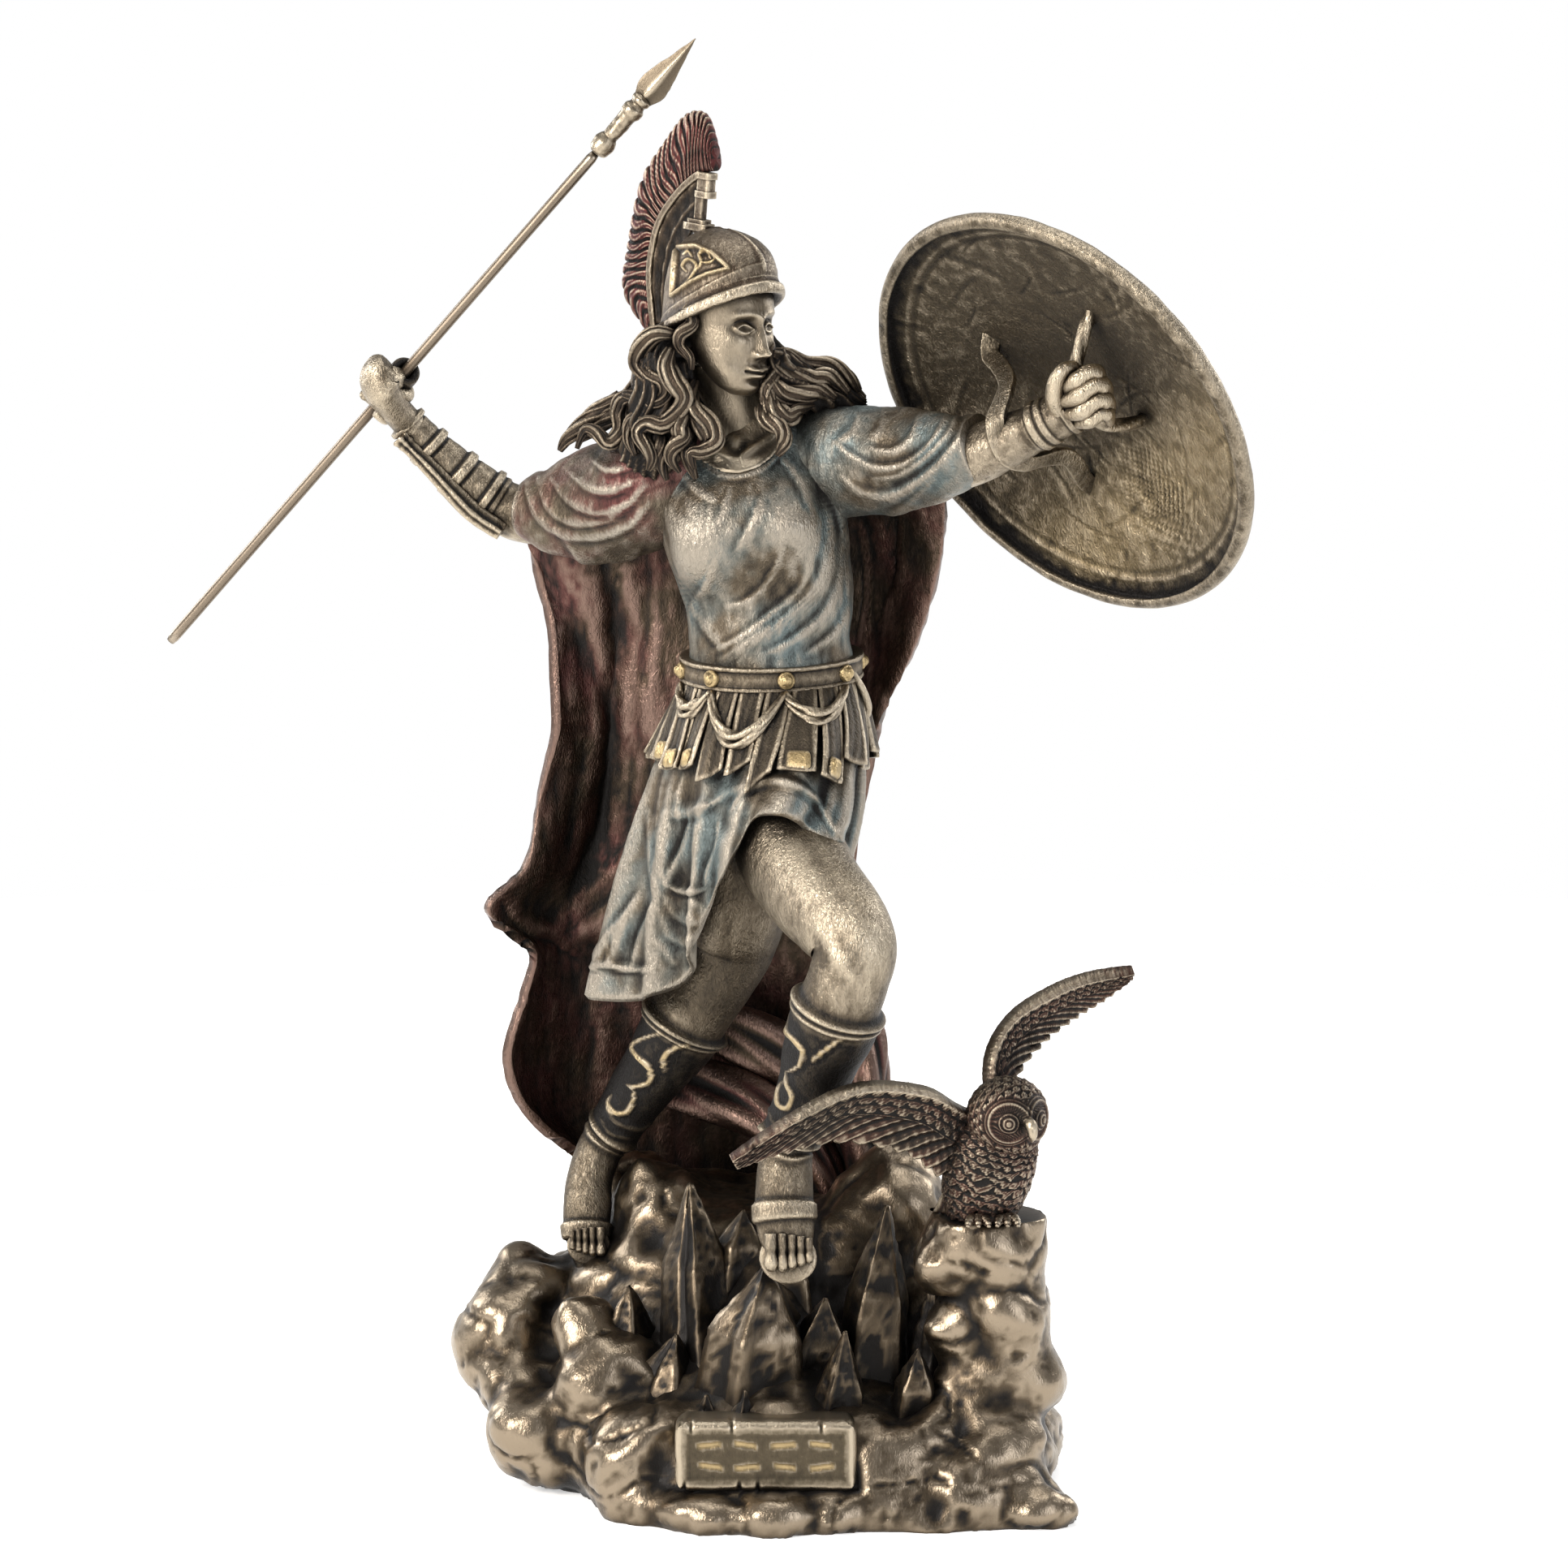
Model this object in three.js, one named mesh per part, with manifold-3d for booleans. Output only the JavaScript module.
// A cold-cast bronze figurine of a helmeted goddess who strides down over a crystal-grown rock with a
// raised spear, a bowl-shaped shield and an owl at the feet.
// Millimetres, +Z up, -Y towards the viewer. The origin is the middle of the flat underside of the rock.
import * as THREE from "three";
import { mergeVertices } from "three/addons/utils/BufferGeometryUtils.js";
import Module from "manifold-3d";

const wasm = await Module();
wasm.setup();

// Driving sizes
const SPEAR_SHAFT_RADIUS = 1.15;
const SPEAR_SHAFT_LENGTH = 143;
const SPEAR_HEAD_LENGTH = 32;
const SPEAR_KNOB_RADIUS = 2.3;
const SPEAR_BLADE_HALF_WIDTH = 3.1;
const SPEAR_BLADE_HALF_THICKNESS = 1.5;
const GRIP_CLEARANCE = 0.35; // between the fist and the spear shaft that slides through it
const GLUE_GAP = 0.3; // between pieces that are cast apart and stuck together
const SHIELD_RADIUS = 47;
const SHIELD_DEPTH = 9;
const SHIELD_WALL = 2.2;
const SHIELD_RIM_RADIUS = 2.0;
const STRAP_WIDTH = 5.2;
const STRAP_THICKNESS = 1.5;
const GRIP_BAR_RADIUS = 1.4;
const FINGER_RADIUS = 1.75;
const FIST_BORE = 2.2; // from a held bar's axis to the middle of the fingers round it
const CLOAK_THICKNESS = 2.4;
const SKIRT_THICKNESS = 1.8;
const CREST_THICKNESS = 3.4;
const BELT_HEIGHT = 5.2;
const BELT_PROUD = 1.2;
const STUD_RADIUS = 2.2;
const STRIP_WIDTH = 5.4;
const STRIP_THICKNESS = 1.5;
const PLAQUE_WIDTH = 37;
const PLAQUE_HEIGHT = 14.5;
const PLAQUE_DEPTH = 9;
const PLAQUE_STROKE_DEPTH = 0.6;
const PERCH_HEIGHT = 60.5; // top of the rock pillar, cut flat under the owl
const TRIM_BLOCK = 400; // side of the block that trims a form flat from below
const OWL_HEAD_RADIUS = 8.4;
const WING_THICKNESS = 2.6;

const V = (x, y, z) => new THREE.Vector3(x, y, z);
const TURN = 2 * Math.PI;
const UP = V(0, 0, 1);

// Solids and joins

// A closed solid from points and triangle corners, turned right side out if need be.
function solid(points, corners) {
  const geometry = new THREE.BufferGeometry().setFromPoints(points);
  geometry.setIndex(corners);
  return solidOf(geometry);
}

function solidOf(geometry) {
  geometry.deleteAttribute("normal");
  geometry.deleteAttribute("uv");
  const merged = mergeVertices(geometry, 1e-4);
  const make = (triVerts) =>
    new wasm.Manifold(
      new wasm.Mesh({ numProp: 3, vertProperties: merged.attributes.position.array, triVerts }),
    );
  const corners = new Uint32Array(merged.index.array);
  const made = make(corners);
  return made.volume() > 0 ? made : make(corners.reverse());
}

const joined = (solids) => solids.reduce((whole, piece) => whole.add(piece));

// The main body of a solid, without the chips that a cut leaves loose.
function mainBody(made) {
  return made.decompose().reduce((best, piece) => (piece.volume() > best.volume() ? piece : best));
}

function meshOf(name, made, material) {
  const from = made.getMesh();
  const geometry = new THREE.BufferGeometry();
  geometry.setAttribute("position", new THREE.BufferAttribute(from.vertProperties, 3));
  geometry.setIndex(new THREE.BufferAttribute(from.triVerts, 1));
  geometry.computeVertexNormals();
  const mesh = new THREE.Mesh(geometry, material);
  mesh.name = name;
  return mesh;
}

// Forms

// Smooth values between rows of numbers, by a Catmull-Rom run through the rows, for t from 0 to 1.
function between(rows, t) {
  const place = THREE.MathUtils.clamp(t, 0, 1) * (rows.length - 1);
  const i = Math.min(Math.floor(place), rows.length - 2);
  const f = place - i;
  const before = rows[Math.max(i - 1, 0)];
  const after = rows[Math.min(i + 2, rows.length - 1)];
  return rows[i].map((here, k) => {
    const next = rows[i + 1][k];
    const linear = next - before[k];
    const square = 2 * before[k] - 5 * here + 4 * next - after[k];
    const cube = 3 * here - before[k] - 3 * next + after[k];
    return here + 0.5 * (linear * f + square * f * f + cube * f * f * f);
  });
}

// A skin over rings of points, closed at both ends by a fan to the ring's middle.
function skin(rings) {
  const sides = rings[0].length;
  const middle = (ring) =>
    ring.reduce((sum, p) => sum.add(p), V(0, 0, 0)).multiplyScalar(1 / ring.length);
  const points = rings.flat();
  const first = points.length;
  const top = (rings.length - 1) * sides;
  points.push(middle(rings[0]), middle(rings.at(-1)));
  const corners = [];
  for (let s = 0; s < sides; s++) {
    const next = (s + 1) % sides;
    for (let r = 0; r < top; r += sides) {
      corners.push(r + s, r + next, r + s + sides, r + next, r + next + sides, r + s + sides);
    }
    corners.push(first, next, s, first + 1, top + s, top + next);
  }
  return solid(points, corners);
}

// A rounded form along stations [x, y, z, half width, half depth]; the width points along "wide".
// relief(t, angle) raises the surface by that many millimetres.
function limb(stations, { wide = V(1, 0, 0), sides = 10, steps = 0, relief = () => 0 } = {}) {
  const count = steps || 2 * (stations.length - 1);
  const rings = [];
  for (let i = 0; i <= count; i++) {
    const t = i / count;
    const [x, y, z, a, b] = between(stations, t);
    const here = between(stations, t - 0.02);
    const there = between(stations, t + 0.02);
    const along = V(there[0] - here[0], there[1] - here[1], there[2] - here[2]).normalize();
    const across = wide.clone().addScaledVector(along, -wide.dot(along)).normalize();
    const through = along.clone().cross(across);
    const ring = [];
    for (let s = 0; s < sides; s++) {
      const angle = (s / sides) * TURN;
      const raise = relief(t, angle);
      ring.push(
        V(x, y, z)
          .addScaledVector(across, (a + raise) * Math.cos(angle))
          .addScaledVector(through, (b + raise) * Math.sin(angle)),
      );
    }
    rings.push(ring);
  }
  return skin(rings);
}

// A sheet of even thickness over surface(u, v), with u across and v down, both from 0 to 1.
function sheet(surface, across, down, thickness) {
  const step = 0.01;
  const points = [];
  for (let j = 0; j <= down; j++) {
    for (let i = 0; i <= across; i++) {
      const u = i / across;
      const v = j / down;
      const acrossWay = surface(u + step, v).sub(surface(u - step, v));
      const downWay = surface(u, v + step).sub(surface(u, v - step));
      const half = acrossWay.cross(downWay).setLength(thickness / 2);
      points.push(surface(u, v).add(half), surface(u, v).sub(half));
    }
  }
  const at = (i, j, face) => 2 * (j * (across + 1) + i) + face;
  const corners = [];
  const quad = (a, b, c, d) => corners.push(a, b, c, a, c, d);
  for (let j = 0; j < down; j++) {
    for (let i = 0; i < across; i++) {
      quad(at(i, j, 0), at(i + 1, j, 0), at(i + 1, j + 1, 0), at(i, j + 1, 0));
      quad(at(i, j, 1), at(i, j + 1, 1), at(i + 1, j + 1, 1), at(i + 1, j, 1));
    }
    quad(at(0, j, 0), at(0, j + 1, 0), at(0, j + 1, 1), at(0, j, 1));
    quad(at(across, j, 0), at(across, j, 1), at(across, j + 1, 1), at(across, j + 1, 0));
  }
  for (let i = 0; i < across; i++) {
    quad(at(i, 0, 0), at(i, 0, 1), at(i + 1, 0, 1), at(i + 1, 0, 0));
    quad(at(i, down, 0), at(i + 1, down, 0), at(i + 1, down, 1), at(i, down, 1));
  }
  return solid(points, corners);
}

// Repeatable unevenness from -1 to 1 over space.
function rough(x, y, z, seed) {
  const a = Math.sin(1.7 * x + 2.3 * y + seed) + Math.sin(2.1 * y - 1.3 * z + 2 * seed);
  return (a + Math.sin(1.9 * z + 1.1 * x + 3 * seed)) / 3;
}

// A worn boulder: an ellipsoid with uneven cheeks.
function boulder([x, y, z, rx, ry, rz], seed, detail = 1, uneven = 0.14) {
  const geometry = new THREE.IcosahedronGeometry(1, detail);
  const place = geometry.attributes.position;
  for (let i = 0; i < place.count; i++) {
    const p = V(0, 0, 0).fromBufferAttribute(place, i).normalize();
    const grow = 1 + uneven * rough(2.2 * p.x, 2.2 * p.y, 2.2 * p.z, seed);
    place.setXYZ(i, x + rx * grow * p.x, y + ry * grow * p.y, z + rz * grow * p.z);
  }
  return solidOf(geometry);
}

// A pointed crystal of flat faces from base to tip.
function crystal(base, tip, radius, seed) {
  const sides = 5;
  const foot = V(...base);
  const point = V(...tip);
  const along = point.clone().sub(foot).normalize();
  const across = V(0.8, -0.5, 0.1).cross(along).normalize();
  const through = along.clone().cross(across);
  const rings = [
    [0, 1],
    [0.55, 0.8],
    [1, 0.06],
  ].map(([share, width]) => {
    const ring = [];
    for (let s = 0; s < sides; s++) {
      const angle = ((s + 0.3 * Math.sin(seed + s)) / sides) * TURN;
      const reach = radius * width * (1 + 0.25 * Math.sin(2.4 * s + seed));
      ring.push(
        foot
          .clone()
          .lerp(point, share)
          .addScaledVector(across, reach * Math.cos(angle))
          .addScaledVector(through, reach * Math.sin(angle)),
      );
    }
    return ring;
  });
  return skin(rings);
}

function box(width, depth, height, at) {
  return solidOf(new THREE.BoxGeometry(width, depth, height).translate(at.x, at.y, at.z));
}

// The block that trims away everything below a height.
const allBelow = (height) => box(TRIM_BLOCK, TRIM_BLOCK, TRIM_BLOCK, V(0, 0, height - TRIM_BLOCK / 2));

// Pose

// The figure's main points. A right hand or leg is on the viewer's left.
const BELT_MIDDLE = V(1.8, 0, 171);
const HEAD = V(-9.5, -3.5, 245);
const FACING = V(0.7, -0.7, -0.12).normalize();
const HEAD_UP = V(0.08, -0.08, 0.99).addScaledVector(FACING, -0.0119).normalize();
const HEAD_RIGHT = FACING.clone().cross(HEAD_UP).normalize();
const SPEAR_TAIL = V(-128.3, 34, 172.2);
const SPEAR_WAY = V(113.5, -36, 128.6).normalize();
const FIST_ALONG_SPEAR = 69.5; // where the little finger lies, from the tail
const SHIELD_MIDDLE = V(60.1, -25, 225.5);
const SHIELD_FACE = V(-0.622, -0.613, -0.486).normalize(); // out of the hollow side
const SHIELD_LONG = V(0.668, -0.087, -0.744).normalize();
const SHIELD_CROSS = SHIELD_LONG.clone().cross(SHIELD_FACE);

const onHead = (ahead, right, up) =>
  HEAD.clone()
    .addScaledVector(FACING, ahead)
    .addScaledVector(HEAD_RIGHT, right)
    .addScaledVector(HEAD_UP, up);
const onShield = (long, cross, proud) =>
  SHIELD_MIDDLE.clone()
    .addScaledVector(SHIELD_LONG, long)
    .addScaledVector(SHIELD_CROSS, cross)
    .addScaledVector(SHIELD_FACE, proud);
// Height of the shield's hollow face, below its rim plane, at a distance from its middle
const hollow = (distance) => -SHIELD_DEPTH * (1 - (distance / SHIELD_RADIUS) ** 2);

// Figure

// A bare arm or leg from joint to joint, with hand-set stations.
const RIGHT_ARM = [
  [-30, 5, 207, 8, 8],
  [-43, 15, 202, 7, 7],
  [-53, 21.5, 201, 6, 6],
  [-61, 22, 205.5, 5.6, 5.6],
  [-70, 21, 213.5, 4.4, 4.4],
  [-76.5, 20, 220.5, 3.6, 3.4],
];
const RIGHT_HAND = [
  [-75, 20, 219, 3.6, 3.2],
  [-79, 17, 224.5, 4.6, 3.4],
  [-81.6, 14.6, 229.5, 5.4, 3.2],
  [-81.2, 13.2, 233.5, 4.4, 2.4],
  [-80, 13, 235, 2, 1.2],
];
const LEFT_ARM = [
  [16, 1, 215, 8, 8],
  [29, -11, 214.5, 7, 7],
  [40, -20, 216, 6.2, 6.2],
  [48, -25, 219.6, 5.6, 5.6],
  [57, -30, 224.4, 4.4, 4.4],
  [62, -32, 227.4, 3.8, 4.4],
];
const LEFT_LEG = [
  [5.4, -4, 143, 12.6, 12.6],
  [4.4, -14, 135.4, 11.6, 11.6],
  [9, -26, 128.4, 10.6, 10.6],
  [15, -36, 122.7, 9.6, 9.6],
  [17.7, -40, 118, 8.7, 8.9],
  [16.6, -40.5, 112, 8.3, 8.5],
  [14.5, -39, 105.7, 8.5, 8.8],
  [13, -37.5, 100.8, 8.4, 8.6],
  [11, -35.5, 95, 7.4, 7.8],
  [9.4, -33, 89, 6.5, 7],
  [6.6, -30, 81.7, 5.6, 6.2],
  [4.2, -28.5, 75, 5.4, 5.6],
  [3.5, -31, 68.6, 5.8, 4.8],
  [3.5, -34, 62, 6, 3.6],
  [3.9, -36, 57, 5.6, 2.6],
  [4.1, -37, 52.6, 3.6, 1.6],
];
const RIGHT_LEG = [
  [-7, 4, 130, 13, 12.5],
  [-7, 6, 118.5, 11, 11.5],
  [-7.6, 8, 110.3, 9, 9.6],
  [-10.5, 9, 104, 8.2, 8.6],
  [-13.5, 10, 99.5, 8.2, 8.4],
  [-17, 11, 94.6, 8.6, 8.8],
  [-19.2, 12, 90.4, 8, 8.4],
  [-24, 14, 83, 6.6, 7.4],
  [-28, 16.5, 77, 5.8, 6.6],
  [-32.5, 19.5, 69.5, 5, 5.6],
  [-35.7, 20.5, 65, 4.9, 5.2],
  [-38.2, 18, 58.3, 4.9, 4.6],
  [-38.7, 14.5, 52.8, 5.2, 3.6],
  [-38.8, 11.5, 48, 4.8, 2.8],
  [-38.6, 9.8, 43.6, 3.6, 2],
  [-38.4, 9, 40, 2.4, 1.6],
];
const SHOULDERS = V(0.98, -0.08, 0.16);

// Drapery folds as ridges that slant round the body and deepen towards one end.
const folds = (count, slant, deep) => (t, angle) => deep * t * Math.sin(count * angle + slant * t);

// The bosom, as a swelling round the torso at two places [share of its height, angle].
const BOSOM = [
  [0.57, 4.25],
  [0.57, 5.2],
];
const BOSOM_PROUD = 4.4;

function torso() {
  const stations = [
    [1, 0, 156, 15, 11],
    [1.8, 0, 166, 18, 13.6],
    [1.4, 0, 177, 16.6, 12.8],
    [0, 0, 188, 17.8, 13.6],
    [-3, 0, 200, 19.4, 15],
    [-3.5, 0.5, 210, 19.5, 13],
    [-3, 1, 218, 14, 8.5],
    [-4, 1.5, 222, 6.4, 6.4],
  ];
  const form = (t, angle) => {
    const cling = 0.7 * Math.sin(5 * angle + 14 * t) * Math.sin(Math.PI * t);
    const swell = BOSOM.map(([at, to]) => Math.exp(-(((t - at) / 0.1) ** 2) - ((angle - to) / 0.42) ** 2));
    return swell.reduce((sum, n) => sum + BOSOM_PROUD * n, cling);
  };
  return limb(stations, { wide: SHOULDERS, sides: 12, steps: 9, relief: form });
}

function head() {
  const profile = [
    [7.4, -15.8, 2, 2],
    [6.6, -13.4, 4.4, 4.4],
    [3.8, -8.5, 7.2, 8],
    [1.4, -2, 8.8, 10.4],
    [0.2, 4, 9.2, 11],
    [-0.6, 10, 8, 9.8],
    [-1, 13, 4, 5],
  ];
  const stations = profile.map(([ahead, up, half, deep]) => [
    ...onHead(ahead, 0, up).toArray(),
    half,
    deep,
  ]);
  const nose = [
    [11.4, 3, 0.9, 1],
    [13.2, -1.5, 1.3, 1.6],
    [13.6, -3.8, 2, 1.6],
    [12, -5, 1.4, 1],
  ].map(([ahead, up, half, deep]) => [...onHead(ahead, 0, up).toArray(), half, deep]);
  const neck = [
    [-4.5, 1, 214, 7, 7],
    [-6, 0, 224, 5.8, 6.2],
    [...onHead(-1, 0, -9).toArray(), 6.2, 6.8],
  ];
  return joined([
    limb(stations, { wide: HEAD_RIGHT, sides: 10, steps: 7 }),
    limb(nose, { wide: HEAD_RIGHT, sides: 4, steps: 3 }),
    limb(neck, { sides: 8, steps: 2 }),
  ]);
}

// The helmet's rim rises at the brow and drops at the nape.
const HELMET_HALF_WIDTH = 10.4;
const HELMET_HALF_LENGTH = 12.4;
const HELMET_SETBACK = 0.6;
const HELMET_CROWN = 17;
const rimHeight = (angle) => -0.75 + 8 * Math.cos(angle);

// Rings of the helmet from inside the brim, round its edge and up over the dome: [outwards, upwards]
// from the rim, then how far up the dome.
const HELMET_RINGS = [
  [-1.4, -1, 0],
  [1.2, -1.2, 0],
  [1.5, 0.9, 0],
  [0.1, 1.3, 0.06],
  [0, 0, 0.42],
  [0, 0, 0.77],
  [0, 0, 0.98],
];

function helmet() {
  const sides = 15;
  return skin(
    HELMET_RINGS.map(([out, rise, lift]) => {
      const ring = [];
      const shrink = Math.sqrt(1 - lift * lift);
      for (let s = 0; s < sides; s++) {
        const angle = (s / sides) * TURN;
        const visor = out * (0.7 + 0.4 * Math.cos(angle));
        ring.push(
          onHead(
            (HELMET_HALF_LENGTH * shrink + visor) * Math.cos(angle) - HELMET_SETBACK,
            (HELMET_HALF_WIDTH * shrink + out) * Math.sin(angle),
            THREE.MathUtils.lerp(rimHeight(angle), HELMET_CROWN, lift) + rise,
          ),
        );
      }
      return ring;
    }),
  );
}

// A closed band whose cross-sections lie one after another round a loop.
function ringBand(sections) {
  const sides = sections[0].length;
  const total = sections.length * sides;
  const corners = [];
  for (let r = 0; r < sections.length; r++) {
    for (let s = 0; s < sides; s++) {
      const a = r * sides + s;
      const b = r * sides + ((s + 1) % sides);
      const c = (a + sides) % total;
      const d = (b + sides) % total;
      corners.push(a, b, c, b, d, c);
    }
  }
  return solid(sections.flat(), corners);
}

// The horsehair crest stands in the head's middle plane, on an arched holder with a post.
// Rows of [ahead of the head's middle, above it].
const CREST_INNER = [
  [-6, 27],
  [-8.6, 25.2],
  [-12.4, 21.5],
  [-16.4, 16],
  [-18.8, 10.5],
  [-19.4, 4],
  [-18.6, -4.5],
];
const CREST_OUTER = [
  [-7.3, 34],
  [-11, 40.4],
  [-18.5, 33.5],
  [-25, 21.5],
  [-28, 11.5],
  [-27, 2.5],
  [-19, -8],
];

function crest() {
  const plume = (u, v) => {
    const inner = between(CREST_INNER, u);
    const outer = between(CREST_OUTER, u);
    const onDome = inner.map((n) => 0.7 * n);
    const [ahead, up] = between([onDome, inner, outer], v);
    return onHead(ahead, 0, up + Math.max(0, v - 0.5) * 1.4 * Math.sin(9 * TURN * u));
  };
  const post = [
    [...onHead(-4.8, 0, 14).toArray(), 2.6, 3],
    [...onHead(-5.2, 0, 18).toArray(), 2.2, 1.8],
    [...onHead(-5.4, 0, 22).toArray(), 2.4, 2.6],
    [...onHead(-5.8, 0, 27.5).toArray(), 2.4, 2.8],
  ];
  return sheet(plume, 11, 2, CREST_THICKNESS).add(limb(post, { wide: HEAD_RIGHT, sides: 4, steps: 3 }));
}

// Locks of hair from the temples down: a way through [x, y, z, half width], which sways from side to side
const LOCKS = [
  [[-18, -2, 242, 4.5], [-24, -3, 234, 5], [-25, -3, 226, 5.4], [-30, -1, 220, 4.6], [-40, 1, 216.5, 1.8]],
  [[-19, -8, 238, 3], [-20, -10, 229, 3], [-23, -12, 221, 3], [-25, -14, 212, 1.6]],
  [[-17, -9, 234, 3], [-17, -10, 226, 3], [-19, -13, 217, 2.6], [-16, -16, 208, 1.4]],
  [[-3, -1, 238, 3], [3, -2, 229, 5], [11, -2, 224.5, 5], [20, -3, 222, 3.4]],
  [[-2, -4, 234, 3], [1, -8, 224, 4], [6, -10, 218, 3.4], [9, -12.5, 210, 1.6]],
];
const LOCK_SWAY = 1.5;
const HAIR_BEHIND = [
  [-9.5, 5, 243, 9, 6],
  [-10, 6, 234, 11, 8],
  [-9, 7, 225, 15, 8],
  [-8, 9, 215, 19, 6],
  [-8, 12, 207, 14, 4],
];

function hair() {
  const lock = (way, seed) => {
    const stops = 5;
    const stations = [];
    for (let i = 0; i <= stops; i++) {
      const t = i / stops;
      const [x, y, z, half] = between(way, t);
      const swing = LOCK_SWAY * Math.sin(1.6 * TURN * t + seed);
      stations.push([x + swing, y, z + 0.5 * swing, half, 0.8 * half]);
    }
    return limb(stations, { sides: 4, steps: stops });
  };
  const behind = limb(HAIR_BEHIND, { sides: 9, steps: 4, relief: folds(4, 5, 1.2) });
  return joined([behind, ...LOCKS.map(lock)]);
}

// A short sleeve round a raised arm: it hangs in swags, least at the cuff.
function sleeve(stations, hang) {
  const swag = (t, angle) => {
    const low = Math.max(0, -Math.sin(angle));
    return 0.8 * Math.sin(12 * t + 4 * Math.cos(angle)) + hang * low * (1 - t);
  };
  return limb(stations, { wide: V(0.3, 1, 0), sides: 9, steps: 7, relief: swag });
}

const LEFT_SLEEVE = [
  [4, 2, 213, 12, 11.5],
  [14, 0, 214.4, 10.5, 12],
  [24, -7, 214.8, 9, 10.6],
  [33, -14, 216, 8, 9.2],
  [40, -19.5, 217.4, 7.2, 7.3],
];
const RIGHT_SLEEVE = [
  [-14, 1, 211, 11, 11],
  [-24, 4, 207, 11, 12],
  [-34, 10, 203.5, 10.5, 11.5],
  [-43, 15.5, 202, 9, 9.5],
  [-50, 19.5, 202.5, 7.4, 7.4],
];

// Belt, studs, swags and the leather strips under them
const BELT_HALF_WIDTH = 18.9;
const BELT_HALF_DEPTH = 14.3;
const aroundWaist = (angle, out, drop) =>
  V(
    BELT_MIDDLE.x + (BELT_HALF_WIDTH + out) * Math.cos(angle),
    BELT_MIDDLE.y + (BELT_HALF_DEPTH + out) * Math.sin(angle),
    BELT_MIDDLE.z - drop + 0.9 * Math.cos(angle),
  );
const STUD_ANGLES = [-2.95, -2.28, -1.41, -0.62];
const SWAG_DROPS = [4, 8.5, 4.5];

function belt() {
  const half = BELT_HEIGHT / 2;
  const sections = [];
  const around = 14;
  for (let s = 0; s < around; s++) {
    const angle = (s / around) * TURN;
    sections.push([
      aroundWaist(angle, -2, -half),
      aroundWaist(angle, BELT_PROUD, -half),
      aroundWaist(angle, BELT_PROUD + 0.4, half),
      aroundWaist(angle, -2, half),
    ]);
  }
  const studs = STUD_ANGLES.map((angle) => {
    const at = aroundWaist(angle, BELT_PROUD + 0.3, 0);
    return boulder([at.x, at.y, at.z, STUD_RADIUS, STUD_RADIUS, STUD_RADIUS], 0, 0, 0);
  });
  const swags = SWAG_DROPS.map((drop, i) => {
    const [angle, next] = STUD_ANGLES.slice(i, i + 2);
    const stations = [];
    for (let k = 0; k <= 3; k++) {
      const t = k / 3;
      const sag = drop * Math.sin(Math.PI * t);
      const at = aroundWaist(THREE.MathUtils.lerp(angle, next, t), BELT_PROUD + 1.4, 1 + sag);
      stations.push([at.x, at.y, at.z, 1.2, 1.5]);
    }
    return limb(stations, { wide: UP, sides: 4, steps: 3 });
  });
  return joined([ringBand(sections), ...studs, ...swags]);
}

// The tunic's skirt: hem points [x, y, z] round the body, from its left hip by way of the back.
const HEM = [
  [15.5, -2, 129],
  [14.5, 9, 126],
  [9, 18, 121],
  [-2, 22, 115],
  [-15, 24, 109],
  [-28, 19, 103],
  [-38, 8, 101],
  [-34, -2, 101],
  [-24, -8, 103],
  [-17, -13, 109],
  [-14, -19, 120],
  [-8, -24, 133],
  [-1, -28, 144],
  [8, -29, 142],
  [14, -24, 135],
  [16, -13, 131],
];
const HEM_START = 0.29; // angle round the waist over the first hem point
const PLEATS = 13;
const PLEAT_DEPTH = 1.5;
const SKIRT_SWELL = 2.6;

// A point of the skirt below a place round the waist: share 0 inside the belt and 1 at the hem.
function skirtAt(angle, share, out) {
  const turn = (((angle - HEM_START) / TURN) % 1 + 1) % 1;
  const foot = V(...between([...HEM, HEM[0]], turn));
  const pleat = PLEAT_DEPTH * share * Math.sin(PLEATS * angle + 1.5 * share);
  const swell = SKIRT_SWELL * Math.sin(Math.PI * share);
  return aroundWaist(angle, -0.6, 0.3 * BELT_HEIGHT)
    .lerp(foot, share)
    .addScaledVector(V(Math.cos(angle), Math.sin(angle), 0), swell + pleat + out);
}

function skirt() {
  const sides = 28;
  const ringAt = (share, out) => {
    const ring = [];
    for (let s = 0; s < sides; s++) ring.push(skirtAt((s / sides) * TURN, share, out));
    return ring;
  };
  return skin([
    ringAt(0, 0),
    ringAt(0.5, 0),
    ringAt(1, 0),
    ringAt(1, -SKIRT_THICKNESS),
    ringAt(0.7, -SKIRT_THICKNESS),
    ringAt(0.45, -9),
  ]);
}

// Leather strips over the skirt, all round but for the back, which the cloak covers
const STRIP_COUNT = 10;
const STRIPS_FROM = -3.6;
const STRIPS_TO = 0.35;
const STRIP_LENGTH = 19;

function strips() {
  const made = [];
  for (let i = 0; i < STRIP_COUNT; i++) {
    const angle = THREE.MathUtils.lerp(STRIPS_FROM, STRIPS_TO, (i + 0.5) / STRIP_COUNT);
    const spread = STRIP_WIDTH / 2 / BELT_HALF_WIDTH;
    const flare = 1.4 + 0.8 * Math.sin(5 * i);
    const fall = BELT_MIDDLE.z - skirtAt(angle, 1, 0).z;
    const surface = (u, v) =>
      skirtAt(angle + (2 * u - 1) * spread, (v * STRIP_LENGTH) / fall, 0.3 * STRIP_THICKNESS + flare * v);
    made.push(sheet(surface, 1, 2, STRIP_THICKNESS));
  }
  return joined(made);
}

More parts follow.
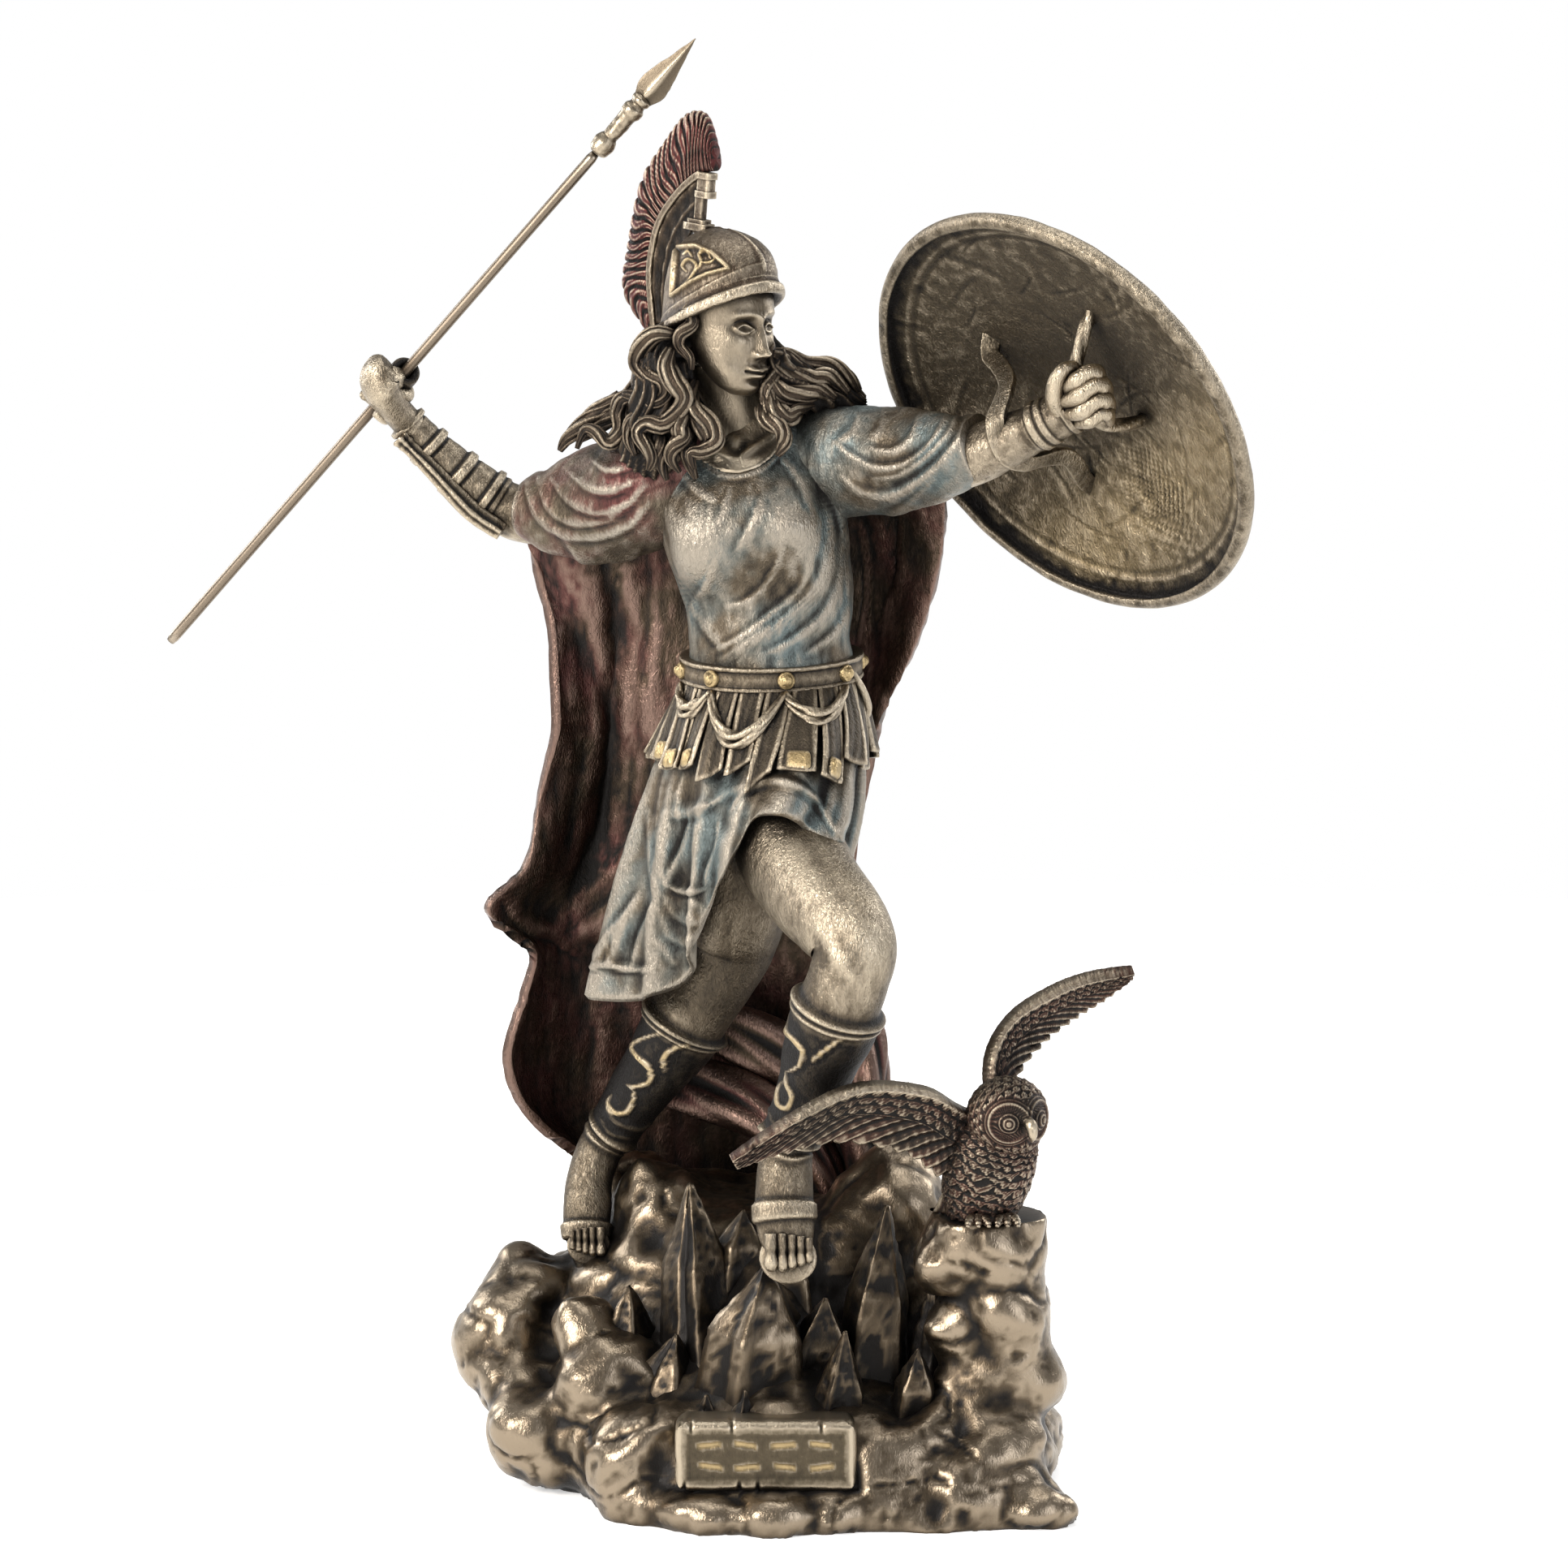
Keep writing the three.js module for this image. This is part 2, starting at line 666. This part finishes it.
// The cloak behind the figure: rows from the shoulders down to the rock, each from the viewer's left.
const CLOAK = [
  [[-45, 18, 204], [-30, 10, 211], [-14, 11, 216], [2, 12, 217], [16, 9, 216], [30, 1, 211], [37, -1, 207]],
  [[-51, 22, 196], [-38, 19, 194], [-20, 20, 196], [0, 21, 198], [18, 18, 198], [30, 11, 194], [36, 5, 192]],
  [[-46, 20, 178], [-36, 25, 176], [-20, 22, 177], [0, 23, 178], [16, 22, 178], [25, 17, 176], [31, 9, 174]],
  [[-45, 18, 159], [-35, 27, 158], [-22, 22, 158], [-3, 24, 158], [13, 24, 158], [20, 21, 158], [24, 15, 158]],
  [[-49, 20, 141], [-38, 30, 139], [-22, 26, 139], [-4, 28, 138], [12, 28, 138], [17, 26, 138], [19, 19, 138]],
  [[-52, 18, 126], [-42, 30, 124], [-26, 30, 121], [-6, 32, 119], [11, 31, 118], [15, 29, 118], [17, 23, 118]],
  [[-60, 14, 117], [-47, 28, 113], [-28, 33, 108], [-8, 35, 105], [11, 34, 104], [16, 31, 104], [20, 25, 104]],
  [[-51, 22, 107], [-45, 33, 103], [-28, 38, 97], [-8, 39, 92], [10, 38, 90], [17, 35, 90], [23, 28, 90]],
  [[-53, 24, 97], [-45, 36, 91], [-28, 41, 85], [-8, 41, 80], [10, 40, 78], [18, 37, 78], [24, 30, 79]],
  [[-56, 24, 84], [-47, 38, 78], [-28, 44, 71], [-8, 45, 66], [10, 43, 63], [18, 39, 62], [24, 32, 64]],
  [[-53, 27, 72], [-44, 40, 66], [-27, 46, 59], [-8, 47, 54], [10, 45, 52], [18, 41, 51], [23, 35, 54]],
  [[-43, 33, 61], [-35, 42, 54], [-23, 46, 47], [-8, 48, 42], [10, 46, 40], [18, 43, 40], [22, 38, 43]],
];

const CLOAK_FOLDS = 4; // across its width
const CLOAK_FOLD_DEPTH = 2.6; // at its foot

function cloak() {
  const surface = (u, v) => {
    const rows = CLOAK.map((row) => between(row, u));
    const wave = Math.sin(CLOAK_FOLDS * TURN * u + 2.2 * Math.sin(3 * v));
    const gather = CLOAK_FOLD_DEPTH * (0.2 + 0.8 * v) * Math.sin(Math.PI * Math.min(1, 0.15 + v)) * wave;
    return V(...between(rows, v)).add(V(0.25 * gather, gather, 0));
  };
  return sheet(surface, 11, CLOAK.length - 1, CLOAK_THICKNESS);
}

// The cloak's end swirls over the rock between the legs in three rolls.
const ROLLS = [
  [[-20, 34, 92, 4, 5], [-6, 28, 88, 5, 6], [8, 26, 80, 5, 6], [18, 24, 70, 5, 6], [21, 22, 58, 4, 5]],
  [[-30, 30, 80, 4, 5], [-14, 26, 76, 5, 6], [0, 22, 70, 6, 6], [10, 20, 60, 5, 5], [14, 18, 50, 4, 4]],
  [[12, 30, 96, 3, 4], [19, 26, 88, 4, 5], [21, 22, 78, 4, 5], [20, 18, 66, 4, 5]],
];

function cloakEnd() {
  return joined(ROLLS.map((roll) => limb(roll, { wide: V(0, 1, 0), sides: 6, steps: 4 })));
}

// A hand closed round a bar: four rolls of fingers one after another along it. "way" runs along the bar
// and "palm" from the bar to the back of the hand.
function fist(start, way, palm) {
  const pitch = 2 * FINGER_RADIUS;
  const stations = [];
  const stops = 8;
  for (let k = 0; k <= stops; k++) {
    const roll = k % 2 ? FINGER_RADIUS : 0.35 * FINGER_RADIUS;
    const ends = k % stops ? 1 : 0.55;
    const p = start.clone().addScaledVector(way, (k / 2) * pitch);
    stations.push([...p.toArray(), ends * (FIST_BORE + roll), ends * (FIST_BORE + 0.6 + roll)]);
  }
  return limb(stations, { wide: way.clone().cross(palm), sides: 6, steps: stops });
}

// A round rod along the spear, from its tail to where the head begins.
function spearRod(radius, sides) {
  const geometry = new THREE.CylinderGeometry(radius, radius, SPEAR_SHAFT_LENGTH, sides);
  geometry.translate(0, SPEAR_SHAFT_LENGTH / 2, 0);
  geometry.applyQuaternion(new THREE.Quaternion().setFromUnitVectors(V(0, 1, 0), SPEAR_WAY));
  geometry.translate(SPEAR_TAIL.x, SPEAR_TAIL.y, SPEAR_TAIL.z);
  return solidOf(geometry);
}

function arms() {
  const spearGrip = SPEAR_TAIL.clone().addScaledVector(SPEAR_WAY, FIST_ALONG_SPEAR);
  const shieldGrip = onShield(-4.8, -13.9, 0.3);
  const barWay = onShield(6.6, -9.8, 2.1).sub(shieldGrip).normalize();
  const armPlate = [
    [-56, 17, 197.5, 3.4, 1.8],
    [-63, 17.5, 202.5, 4, 2],
    [-71, 17.5, 211, 3.2, 1.8],
    [-77.5, 17.5, 217.5, 2.2, 1.4],
  ];
  const guardBands = ribs([0.57, 0.71, 0.86, 1], 0.06, 0.8);
  const cuffs = ribs([0.8, 0.92], 0.08, 1);
  return joined([
    limb(RIGHT_ARM, { wide: V(0, 1, 0), sides: 7, steps: 14, relief: guardBands }),
    limb(RIGHT_HAND, { wide: V(0.5, -0.6, -0.6), sides: 7, steps: 4 }),
    limb(armPlate, { wide: V(0, 1, 0.3), sides: 5, steps: 3 }),
    fist(spearGrip, SPEAR_WAY, V(-0.55, -0.75, 0.28)),
    limb(LEFT_ARM, { wide: V(0, 1, 0), sides: 7, steps: 12, relief: cuffs }),
    fist(shieldGrip, barWay, V(-0.7, -0.6, -0.4)),
  ]);
}

// Raised bands round a limb, each at its place along it.
const ribs = (places, width, proud) => (t) =>
  places.reduce((most, place) => Math.max(most, proud * (1 - Math.abs(t - place) / width)), 0);

// Where the greave's rim, the ankle strap and the toe strap lie along each leg
const LEFT_BANDS = [0.4, 0.75, 0.85];
const RIGHT_BANDS = [0.35, 0.65, 0.8];
const BAND_PROUD = 1.1;

function legs() {
  const down = { sides: 8, steps: 20 };
  return joined([
    limb(LEFT_LEG, { ...down, relief: ribs(LEFT_BANDS, 0.04, BAND_PROUD) }),
    limb(RIGHT_LEG, { ...down, relief: ribs(RIGHT_BANDS, 0.04, BAND_PROUD) }),
  ]);
}

// The rock's outline at each height: how far it reaches at every twelfth of a turn from +X, which is
// the right of the picture, by way of the back.
const ROCK_AXIS = V(0, 4, 0);
const ROCK_RINGS = [
  [0, 60, 57, 62, 64, 62, 56, 50, 49, 53, 61, 64, 64],
  [8, 61, 58, 62, 64, 65, 62, 55, 52, 56, 55, 63, 66],
  [16, 59, 56, 58, 60, 62, 64, 57, 50, 50, 55, 58, 62],
  [25, 50, 52, 54, 56, 58, 62, 52, 36, 36, 44, 38, 42],
  [34, 44, 46, 50, 52, 54, 54, 42, 27, 24, 34, 26, 36],
  [44, 38, 38, 42, 46, 46, 44, 32, 18, 16, 24, 20, 30],
  [54, 28, 28, 32, 36, 38, 34, 18, 10, 8, 10, 12, 22],
];
const ROCK_SIDES = 22;
const ROCK_ROUGHNESS = 3.4;

function mound() {
  return skin(
    ROCK_RINGS.map(([height, ...reaches]) => {
      const loop = [...reaches, reaches[0]].map((reach) => [reach]);
      const ring = [];
      for (let s = 0; s < ROCK_SIDES; s++) {
        const angle = (s / ROCK_SIDES) * TURN;
        const [reach] = between(loop, s / ROCK_SIDES);
        const uneven = ROCK_ROUGHNESS * rough(9 * Math.cos(angle), 9 * Math.sin(angle), height / 4, 2);
        const out = V(Math.cos(angle), Math.sin(angle), 0).multiplyScalar(reach + uneven);
        ring.push(ROCK_AXIS.clone().add(out).setZ(height - (height ? 0 : 4) + 0.5 * uneven));
      }
      return ring;
    }),
  );
}

// Boulders [x, y, z, half sizes], the pillar under the owl and crystals [base, tip, radius]
const BOULDERS = [
  [-46, 40, 26, 11, 12, 11],
  [-54, 31, 16, 9.5, 13, 10],
  [-31, -21, 9, 13, 12, 10],
  [-22, 30, 46, 15, 12, 14],
  [25, 4, 54, 12, 13, 13],
  [43, -38, 6, 15.5, 17, 12],
  [36, -4, 38, 13, 14, 14],
];
const PILLAR = [
  [45, -31, 12, 15, 16],
  [47, -30, 20, 9.5, 12],
  [49, -29, 27, 11.6, 13],
  [48, -29, 34, 9, 12],
  [47.5, -29, 41, 11.6, 13.4],
  [46.5, -29, 47, 9, 12],
  [46, -29, 54, 11.6, 13],
  [45.5, -29, 66, 10, 11],
];
const CRYSTALS = [
  [[19, -24, 20], [24.8, -24, 61], 8],
  [[-3, -31, 14], [-0.4, -34, 51.2], 9.5],
  [[8, -28, 16], [12, -33, 42], 7],
  [[-13, 4, 30], [-16.5, 8, 60.5], 8],
  [[15, -37, 16], [15.7, -41, 38.5], 5],
  [[-44, 4, 12], [-40, 3, 33], 8],
  [[26, -36, 14], [31, -39, 34.5], 4.6],
  [[-16, -18, 12], [-9, -12, 40], 10],
];

function rock() {
  const lumps = BOULDERS.map((row, i) => boulder(row, i));
  const spikes = CRYSTALS.map(([base, tip, radius], i) => crystal(base, tip, radius, i));
  const pillar = limb(PILLAR, { sides: 8, steps: 7 });
  const overPerch = box(36, 34, 40, V(46, -30, PERCH_HEIGHT + 20));
  return joined([mound(), ...lumps, pillar, ...spikes, plaque()]).subtract(allBelow(0)).subtract(overPerch);
}

// The plate, with notched corners and two rows of shallow strokes.
const PLAQUE_MIDDLE = V(-0.3, -53, 15.2);

function plaque() {
  const [w, h, notch] = [PLAQUE_WIDTH / 2, PLAQUE_HEIGHT / 2, 0.8];
  const outline = new THREE.Shape();
  outline.moveTo(-w + notch, -h);
  outline.lineTo(w - notch, -h + 0.3);
  outline.lineTo(w, -h + 2);
  outline.lineTo(w - 0.7, 0);
  outline.lineTo(w + 0.2, h - 2);
  outline.lineTo(w - notch, h - 0.2);
  outline.lineTo(-w + notch, h);
  outline.lineTo(-w, h - 1.6);
  outline.lineTo(-w + 0.5, 0);
  outline.lineTo(-w, -h + 1.5);
  const slab = new THREE.ExtrudeGeometry(outline, { depth: PLAQUE_DEPTH, bevelEnabled: false });
  slab.rotateX(Math.PI / 2);
  slab.translate(PLAQUE_MIDDLE.x, PLAQUE_MIDDLE.y + PLAQUE_DEPTH, PLAQUE_MIDDLE.z);
  const strokes = [];
  const rowCount = 2;
  const perRow = 4;
  for (let row = 0; row < rowCount; row++) {
    for (let k = 0; k < perRow; k++) {
      const x = PLAQUE_MIDDLE.x + ((k + 0.5) / perRow - 0.5) * (PLAQUE_WIDTH - 6);
      const z = PLAQUE_MIDDLE.z + (0.5 - (row + 0.5) / rowCount) * (PLAQUE_HEIGHT - 4);
      const front = PLAQUE_MIDDLE.y + PLAQUE_STROKE_DEPTH / 2 - 0.5;
      strokes.push(box(5, PLAQUE_STROKE_DEPTH + 1, 1.2, V(x, front, z)));
    }
  }
  return solidOf(slab).subtract(joined(strokes));
}

// Shield: a turned bowl with a rolled rim, an arm strap and a hand grip cast on.
function shieldBowl() {
  const profile = [];
  const steps = 3;
  const edge = SHIELD_RADIUS - SHIELD_RIM_RADIUS;
  for (let i = 0; i <= steps; i++) {
    const r = (i / steps) * edge;
    profile.push(new THREE.Vector2(r, hollow(r)));
  }
  for (let i = 0; i <= 3; i++) {
    const angle = 2.4 - (i / 3) * 4.2;
    const [out, up] = [Math.cos(angle), Math.sin(angle)].map((n) => SHIELD_RIM_RADIUS * n);
    profile.push(new THREE.Vector2(edge + out, up));
  }
  for (let i = steps - 1; i >= 0; i--) {
    const r = (i / steps) * edge;
    profile.push(new THREE.Vector2(r, hollow(r) - SHIELD_WALL));
  }
  profile[0].x = 0;
  profile.at(-1).x = 0;
  const bowl = new THREE.LatheGeometry(profile, 24);
  const frame = new THREE.Matrix4().makeBasis(SHIELD_LONG, SHIELD_FACE, SHIELD_CROSS);
  bowl.applyMatrix4(frame.setPosition(SHIELD_MIDDLE));
  return solidOf(bowl);
}

// The strap leaves the hollow, passes over the forearm and runs back; the grip bar arches by the rim.
const STRAP = [
  [-22, 10, -7.6],
  [-19, 11.5, -5],
  [-15.7, 8.6, -2.5],
  [-12.4, 3.4, 2.6],
  [-10.3, 2.1, 7.4],
  [-7.5, 3.1, 12.4],
  [-1.8, 5.4, 13.7],
  [2.4, 7.7, 9.5],
  [5.1, 9, 2.6],
  [7.8, 10.1, -1.3],
  [13, 16.1, -5],
  [15.6, 18.8, -7.6],
];
const GRIP_BAR = [
  [-11.5, -19.6, -7.8],
  [-9.5, -17.5, -4.5],
  [-6, -14.3, -0.5],
  [-2.7, -13.1, 1],
  [2, -11.5, 2.2],
  [6.1, -9.9, 1.8],
  [9.5, -8.4, -2.5],
  [12, -7.6, -9],
];

function straps(extra) {
  const at = ([long, cross, proud], a, b) => [...onShield(long, cross, proud).toArray(), a, b];
  const strap = STRAP.map((row) => at(row, STRAP_WIDTH / 2 + extra, STRAP_THICKNESS / 2 + extra));
  const bar = GRIP_BAR.map((row) => at(row, GRIP_BAR_RADIUS + extra, GRIP_BAR_RADIUS + extra));
  const flatOfStrap = SHIELD_FACE.clone().multiplyScalar(0.6).sub(SHIELD_CROSS);
  return joined([
    limb(strap, { wide: flatOfStrap, sides: 4, steps: 11 }),
    limb(bar, { wide: SHIELD_CROSS, sides: 6, steps: 8 }),
  ]);
}

// Owl
const OWL_HEAD = V(49, -41, 83.4);
const OWL_BODY = [
  [42.5, -32, 57, 4, 3.5],
  [43.5, -33.5, 63, 7.4, 6.6],
  [45, -35.5, 70, 9.2, 8.4],
  [47, -38, 77, 8.8, 8.6],
  [48.5, -40, 81, 7, 7.2],
];
const OWL_LEFT_WING = {
  front: [
    [45, -38, 82],
    [39.5, -41, 85],
    [32, -45, 89.5],
    [19, -49, 91],
    [6.5, -51.5, 86],
    [-7.4, -52, 77],
  ],
  back: [
    [42, -35, 70],
    [36, -37, 71],
    [27.5, -40, 77],
    [14, -45, 80],
    [2.4, -49, 78],
    [-6.4, -51, 75],
  ],
};
const OWL_RIGHT_WING = {
  front: [
    [45.6, -36.6, 82],
    [45.5, -33.5, 94],
    [50, -29, 101.5],
    [58.5, -26, 106.5],
    [66, -23.5, 109],
    [75.5, -22, 110.4],
  ],
  back: [
    [50.6, -34, 82],
    [51, -30, 90],
    [56.5, -24, 96],
    [63, -20, 100.5],
    [69, -19, 104],
    [74.5, -20.6, 108],
  ],
};
const OWL_BEAK = [
  [55.4, -46.6, 83.4, 1.3, 1.3],
  [56.8, -48, 81.2, 1, 1],
  [56.4, -47.8, 79, 0.4, 0.4],
];
const OWL_LEGS = [
  [[46, -36, 68, 3, 3], [48, -37.5, 62, 2.4, 2.6], [49, -38.5, 57, 2.4, 2.6]],
  [[43, -34, 68, 3, 3], [43, -37, 62, 2.2, 2.4], [43, -39, 57, 2.2, 2.4]],
];
const OWL_TAIL = [
  [41.3, -30.6, 64.4, 5, 2.6],
  [38.5, -27, 58, 4.6, 1.8],
  [37, -25, 53, 3, 1.2],
];

function wing({ front, back }) {
  const surface = (u, v) => {
    const edge = V(...between(front, u));
    const trail = V(...between(back, u));
    const scallop = 0.9 * v * Math.sin(u * 9 * TURN);
    return edge.lerp(trail, v).add(V(0, 0, scallop));
  };
  return sheet(surface, 11, 1, WING_THICKNESS);
}

function owl() {
  const underSeat = allBelow(PERCH_HEIGHT + GLUE_GAP);
  const whole = joined([
    limb(OWL_BODY, { wide: V(0.8, -0.5, 0.1), sides: 10, steps: 6 }),
    boulder([...OWL_HEAD.toArray(), OWL_HEAD_RADIUS, OWL_HEAD_RADIUS, 0.95 * OWL_HEAD_RADIUS], 0, 2, 0),
    limb(OWL_BEAK, { sides: 4, steps: 2 }),
    wing(OWL_LEFT_WING),
    wing(OWL_RIGHT_WING),
    limb(OWL_TAIL, { sides: 6, steps: 3 }),
    ...OWL_LEGS.map((stations) => limb(stations, { sides: 6, steps: 3 })),
  ]);
  return mainBody(whole.subtract(underSeat));
}

// Spear: a drawn rod with a cast head pushed over its end
function spearHead() {
  const socketStart = SPEAR_SHAFT_LENGTH + GLUE_GAP;
  const profile = [
    [0, 0],
    [1.5, 0],
    [SPEAR_KNOB_RADIUS, 1.2],
    [SPEAR_KNOB_RADIUS, 3.4],
    [1.7, 4.8],
    [1.9, 10],
    [2.2, 12.4],
    [1.7, 13.6],
    [2.1, 15],
    [0, 15.6],
  ].map(([r, h]) => new THREE.Vector2(r, h));
  const turned = new THREE.LatheGeometry(profile, 8);
  const ringOf = (height, half, deep) =>
    [
      [half, 0],
      [0, deep],
      [-half, 0],
      [0, -deep],
    ].map(([x, z]) => V(x, height, z));
  const blade = skin([
    ringOf(13, 1.6, 1.2),
    ringOf(16.5, SPEAR_BLADE_HALF_WIDTH, SPEAR_BLADE_HALF_THICKNESS),
    ringOf(SPEAR_HEAD_LENGTH - 6, 0.42 * SPEAR_BLADE_HALF_WIDTH, 0.6 * SPEAR_BLADE_HALF_THICKNESS),
    ringOf(SPEAR_HEAD_LENGTH, 0.15, 0.15),
  ]);
  const flat = V(0.75, 0, -0.66);
  flat.addScaledVector(SPEAR_WAY, -flat.dot(SPEAR_WAY)).normalize();
  const start = SPEAR_TAIL.clone().addScaledVector(SPEAR_WAY, socketStart);
  const frame = new THREE.Matrix4().makeBasis(flat, SPEAR_WAY, flat.clone().cross(SPEAR_WAY));
  return solidOf(turned).add(blade).transform(frame.setPosition(start).elements);
}

// Assembly
const bronze = new THREE.MeshStandardMaterial({ color: 0x7d6a4e, roughness: 0.42, metalness: 0.8 });
const shieldBronze = new THREE.MeshStandardMaterial({ color: 0x6f5c41, roughness: 0.45, metalness: 0.8 });
const rodBrown = new THREE.MeshStandardMaterial({ color: 0x8a7766, roughness: 0.4, metalness: 0.7 });
const plumage = new THREE.MeshStandardMaterial({ color: 0x5c4a3e, roughness: 0.5, metalness: 0.7 });

const casting = joined([
  rock(),
  legs(),
  skirt(),
  torso(),
  strips(),
  belt(),
  cloak(),
  cloakEnd(),
  head(),
  helmet(),
  crest(),
  hair(),
  sleeve(LEFT_SLEEVE, 2),
  sleeve(RIGHT_SLEEVE, 3),
  arms(),
])
  .subtract(spearRod(SPEAR_SHAFT_RADIUS + GRIP_CLEARANCE, 16))
  .subtract(straps(GLUE_GAP));

const statue = new THREE.Group();
statue.add(meshOf("statue", mainBody(casting), bronze));
statue.add(meshOf("shield", shieldBowl().add(straps(0)), shieldBronze));
statue.add(meshOf("owl", owl(), plumage));
statue.add(meshOf("spear_shaft", spearRod(SPEAR_SHAFT_RADIUS, 12), rodBrown));
statue.add(meshOf("spear_head", spearHead(), bronze));

export default statue;
